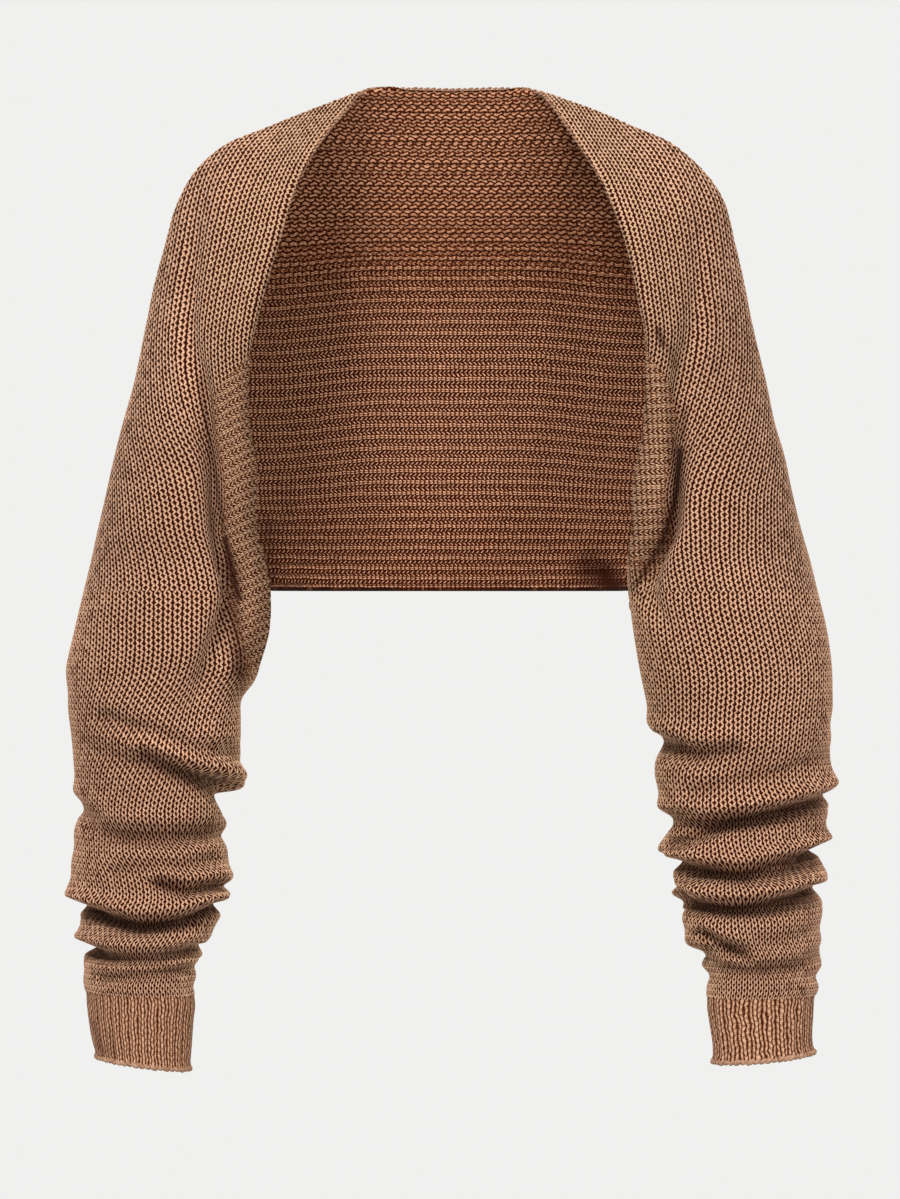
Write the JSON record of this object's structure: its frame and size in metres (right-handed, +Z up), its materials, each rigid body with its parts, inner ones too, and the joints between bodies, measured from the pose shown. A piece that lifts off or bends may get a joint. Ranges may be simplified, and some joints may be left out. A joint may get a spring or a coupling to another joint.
{
  "type": "cropped cardigan",
  "caption": "Open-front cropped knit shrug cardigan, worn form without a wearer: short back, narrow fronts, long gathered sleeves with ribbed cuffs.",
  "frame": {"origin": "midway between the tops of the two shoulders, where the wearer carries the garment", "axes": "+Z up along the hanging sleeves, +X to the viewer's right across the shoulders, -Y out of the open front"},
  "size_m": [0.5768, 0.1955, 0.7356],
  "materials": {
    "back_cloth": "chunky rust-brown knit, level wales, matt with a soft sheen",
    "front_cloth": "chunky camel-brown knit, wales along the front edge",
    "sleeve_cloth": "chunky camel-brown knit, wales along the sleeve",
    "cuff_rib": "narrow ribbed knit with a rolled edge"
  },
  "bodies": {
    "root": {"back": "back_cloth", "front_left": "front_cloth", "front_right": "front_cloth", "sleeve_left": "sleeve_cloth", "sleeve_right": "sleeve_cloth", "cuff_left": "cuff_rib", "cuff_right": "cuff_rib"}
  },
  "joints": []
}
